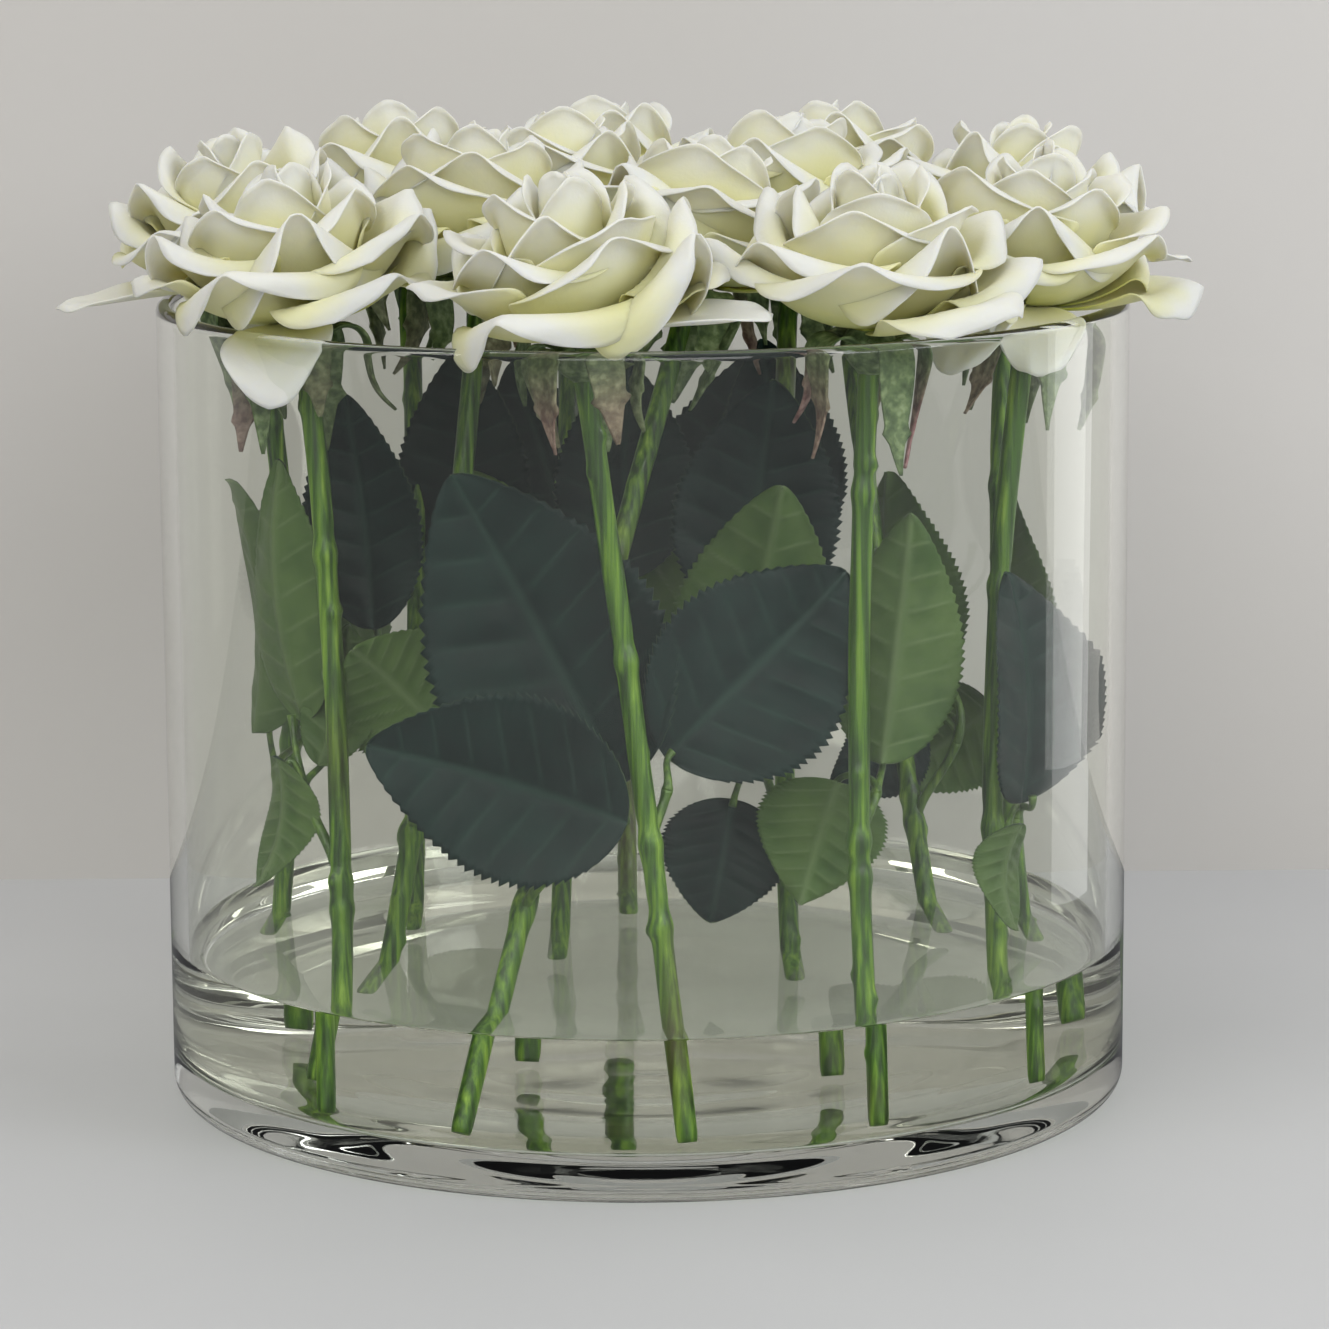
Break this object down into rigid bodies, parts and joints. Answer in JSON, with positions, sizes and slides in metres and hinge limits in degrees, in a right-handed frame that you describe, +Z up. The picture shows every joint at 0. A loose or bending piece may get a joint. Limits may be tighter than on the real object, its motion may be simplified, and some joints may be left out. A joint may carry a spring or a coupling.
{
  "type": "glass cylinder vase",
  "caption": "Clear thick-bottomed glass cylinder vase, part filled with water and packed with long-stemmed artificial white roses.",
  "frame": {"origin": "on the vase's axis, in the plane of the foot ring that it stands on", "axes": "+Z up along the vase's axis, -Y towards the front, where the open roses face the viewer, +X to the viewer's right"},
  "size_m": [0.2704, 0.2699, 0.2549],
  "materials": {
    "glass": "polished",
    "water": "polished",
    "stem": "satin",
    "leaf": "satin",
    "calyx": "satin",
    "petals": "matte"
  },
  "bodies": {
    "vase": {"glass_vase": "glass", "water": "water"},
    "roses": {"rose_01_stem": "stem", "rose_01_leaves": "leaf", "rose_01_calyx": "calyx", "rose_01_head": "petals", "rose_02_stem": "stem", "rose_02_leaves": "leaf", "rose_02_calyx": "calyx", "rose_02_head": "petals", "rose_03_stem": "stem", "rose_03_leaves": "leaf", "rose_03_calyx": "calyx", "rose_03_head": "petals", "rose_04_stem": "stem", "rose_04_leaves": "leaf", "rose_04_calyx": "calyx", "rose_04_head": "petals", "rose_05_stem": "stem", "rose_05_leaves": "leaf", "rose_05_calyx": "calyx", "rose_05_head": "petals", "rose_06_stem": "stem", "rose_06_leaves": "leaf", "rose_06_calyx": "calyx", "rose_06_head": "petals", "rose_07_stem": "stem", "rose_07_leaves": "leaf", "rose_07_calyx": "calyx", "rose_07_head": "petals", "rose_08_stem": "stem", "rose_08_leaves": "leaf", "rose_08_calyx": "calyx", "rose_08_head": "petals", "rose_09_stem": "stem", "rose_09_leaves": "leaf", "rose_09_calyx": "calyx", "rose_09_head": "petals", "rose_10_stem": "stem", "rose_10_leaves": "leaf", "rose_10_calyx": "calyx", "rose_10_head": "petals", "rose_11_stem": "stem", "rose_11_leaves": "leaf", "rose_11_calyx": "calyx", "rose_11_head": "petals", "rose_12_stem": "stem", "rose_12_leaves": "leaf", "rose_12_calyx": "calyx", "rose_12_head": "petals", "rose_13_stem": "stem", "rose_13_leaves": "leaf", "rose_13_calyx": "calyx", "rose_13_head": "petals"}
  },
  "joints": [
    {"name": "roses_lift", "type": "slide", "parent": "vase", "child": "roses", "axis": [0, 0, 1], "range_m": [0, 0.2], "deforming": ["water"]}
  ]
}
